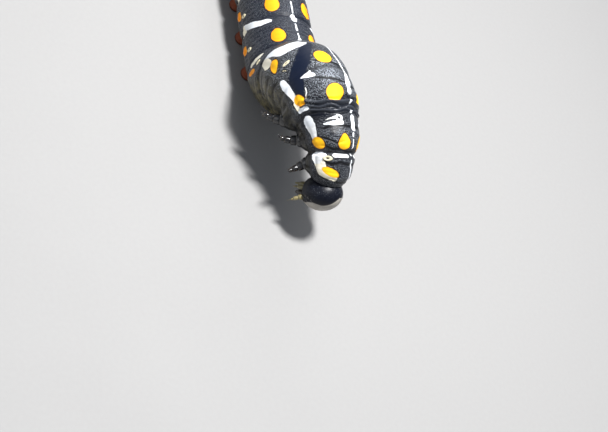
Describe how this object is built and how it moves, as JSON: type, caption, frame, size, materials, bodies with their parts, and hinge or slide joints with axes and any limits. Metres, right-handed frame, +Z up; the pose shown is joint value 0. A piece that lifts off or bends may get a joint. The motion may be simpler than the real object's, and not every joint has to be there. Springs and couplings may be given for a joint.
{
  "type": "hawk-moth larva",
  "caption": "Life-size hawk-moth larva, dark with pale, yellow and orange marks, on its prolegs with the fore body arched up and over.",
  "frame": {"origin": "on the floor, at the middle of the underside of the whole larva's box", "axes": "+X runs along the body towards the head, +Y to the larva's left, +Z up"},
  "size_m": [0.0784, 0.0146, 0.021],
  "materials": {
    "skin": "velvety blue-black skin with fine pale granules, white bars and dashes, and yellow to orange spots",
    "head": "glossy blue-black hard capsule, with a pale grey-beige front",
    "mouthparts": "pale beige, slightly glossy",
    "claw": "glossy black",
    "proleg": "dark skin that turns orange-brown towards the foot",
    "horn": "orange-red with a black tip, finely grained"
  },
  "bodies": {
    "root": {"abdomen_1": "skin", "abdomen_2": "skin", "abdomen_3": "skin", "abdomen_4": "skin", "abdomen_5": "skin", "abdomen_6": "skin", "abdomen_7": "skin", "abdomen_8": "skin", "abdomen_9": "skin", "anal_segment": "skin", "antenna_left": "mouthparts", "antenna_right": "mouthparts", "clasper_left": "proleg", "clasper_right": "proleg", "head_capsule": "head", "horn": "horn", "labium": "mouthparts", "labrum": "mouthparts", "leg_1_left": "claw", "leg_1_right": "claw", "leg_2_left": "claw", "leg_2_right": "claw", "leg_3_left": "claw", "leg_3_right": "claw", "mandible_left": "claw", "mandible_right": "claw", "proleg_3_left": "proleg", "proleg_3_right": "proleg", "proleg_4_left": "proleg", "proleg_4_right": "proleg", "proleg_5_left": "proleg", "proleg_5_right": "proleg", "proleg_6_left": "proleg", "proleg_6_right": "proleg", "thorax_1": "skin", "thorax_2": "skin", "thorax_3": "skin"}
  },
  "joints": []
}
